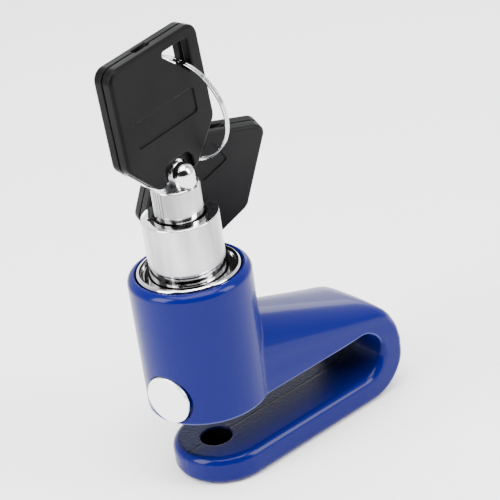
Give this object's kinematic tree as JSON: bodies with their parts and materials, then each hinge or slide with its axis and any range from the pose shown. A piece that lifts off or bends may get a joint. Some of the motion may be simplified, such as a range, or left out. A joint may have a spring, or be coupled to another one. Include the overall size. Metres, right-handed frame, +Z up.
{
  "type": "motorcycle disc brake lock",
  "caption": "U-shaped brake disc lock with a push-down cylinder that drives a steel pin across the slot, a tubular key in it and a spare on a split ring.",
  "frame": {"origin": "on the flat underside of the lower jaw, under the lock cylinder's axis", "axes": "+Z up along the cylinder; +X from the cylinder towards the bend of the U; Y across the U, the inserted key's broad faces facing roughly -Y and +Y"},
  "size_m": [0.0628, 0.0372, 0.0982],
  "materials": {
    "cast_body": "gloss royal blue paint on cast zinc alloy",
    "sleeve_steel": "turned",
    "mouth_chrome": "mirror polished",
    "seal_rubber": "matt black",
    "screw_steel": "blackened",
    "plug_chrome": "satin",
    "seat_steel": "plain",
    "spring_steel": "drawn wire",
    "cylinder_chrome": "mirror top, satin side",
    "core_brass": "machined",
    "bolt_steel": "ground hardened steel",
    "latch_steel": "stamped",
    "rotor_brass": "machined",
    "key_pin_brass": "turned",
    "driver_pin_steel": "turned",
    "pin_spring_steel": "drawn wire",
    "key_metal": "bright nickel",
    "key_head_plastic": "satin black moulding",
    "spare_key_metal": "bright nickel",
    "spare_key_head_plastic": "satin black moulding",
    "ring_steel": "bright flattened wire"
  },
  "bodies": {
    "housing": {"lock_body": "cast_body", "guide_sleeve": "sleeve_steel", "mouth_ring": "mouth_chrome", "wiper_seal": "seal_rubber", "set_screw": "screw_steel", "side_plug": "plug_chrome", "spring_seat": "seat_steel", "return_spring": "spring_steel"},
    "cylinder": {"cylinder_shell": "cylinder_chrome", "driver_housing": "core_brass", "locking_bolt": "bolt_steel", "pin_spring_1": "pin_spring_steel", "pin_spring_2": "pin_spring_steel", "pin_spring_3": "pin_spring_steel", "pin_spring_4": "pin_spring_steel", "pin_spring_5": "pin_spring_steel", "pin_spring_6": "pin_spring_steel", "pin_spring_7": "pin_spring_steel", "pin_spring_8": "pin_spring_steel"},
    "rotor": {"rotor": "rotor_brass"},
    "key_pins": {"key_pin_1": "key_pin_brass", "key_pin_2": "key_pin_brass", "key_pin_3": "key_pin_brass", "key_pin_4": "key_pin_brass", "key_pin_5": "key_pin_brass", "key_pin_6": "key_pin_brass", "key_pin_7": "key_pin_brass", "key_pin_8": "key_pin_brass"},
    "drivers": {"driver_pin_1": "driver_pin_steel", "driver_pin_2": "driver_pin_steel", "driver_pin_3": "driver_pin_steel", "driver_pin_4": "driver_pin_steel", "driver_pin_5": "driver_pin_steel", "driver_pin_6": "driver_pin_steel", "driver_pin_7": "driver_pin_steel", "driver_pin_8": "driver_pin_steel"},
    "latch": {"latch_bolt": "latch_steel"},
    "key": {"key_blank": "key_metal", "key_head_front": "key_head_plastic", "key_head_back": "key_head_plastic"},
    "ring": {"split_ring": "ring_steel"},
    "spare_key": {"spare_key_blank": "spare_key_metal", "spare_key_head_front": "spare_key_head_plastic", "spare_key_head_back": "spare_key_head_plastic"}
  },
  "joints": [
    {"name": "cylinder_push", "type": "slide", "parent": "housing", "child": "cylinder", "axis": [0, 0, -1], "range_m": [0, 0.014], "stiffness_N_per_m": 400, "springref_m": -0.004, "deforming": ["return_spring"]},
    {"name": "key_turn", "type": "hinge", "parent": "cylinder", "child": "rotor", "pos_m": [0, 0, 0.054], "axis": [0, 0, 1], "range_deg": [0, 90]},
    {"name": "latch_throw", "type": "slide", "parent": "cylinder", "child": "latch", "axis": [0, 1, 0], "range_m": [0, 0.0009]},
    {"name": "key_pull", "type": "slide", "parent": "rotor", "child": "key", "axis": [0, 0, 1], "range_m": [0, 0.012]},
    {"name": "key_pins_rise", "type": "slide", "parent": "rotor", "child": "key_pins", "axis": [0, 0, 1], "range_m": [0, 0.0012]},
    {"name": "drivers_rise", "type": "slide", "parent": "cylinder", "child": "drivers", "axis": [0, 0, 1], "range_m": [0, 0.0012], "deforming": ["pin_spring_1", "pin_spring_2", "pin_spring_3", "pin_spring_4", "pin_spring_5", "pin_spring_6", "pin_spring_7", "pin_spring_8"]},
    {"name": "ring_swing", "type": "hinge", "parent": "key", "child": "ring", "pos_m": [0.00645, 0.00091, 0.09145], "axis": [-0.1392, 0.9903, 0], "range_deg": [-25, 0]},
    {"name": "spare_swing", "type": "hinge", "parent": "ring", "child": "spare_key", "pos_m": [0.00716, 0.00813, 0.06876], "axis": [0.9687, -0.1496, -0.1979], "range_deg": [0, 22.5]}
  ],
  "couplings": [
    {"joint": "latch_throw", "follows": "key_turn", "m_per_rad": 0.00057296},
    {"joint": "key_pins_rise", "follows": "key_pull", "ratio": 0.1},
    {"joint": "drivers_rise", "follows": "key_pull", "ratio": 0.1},
    {"joint": "spare_swing", "follows": "cylinder_push", "rad_per_m": 27.427}
  ]
}
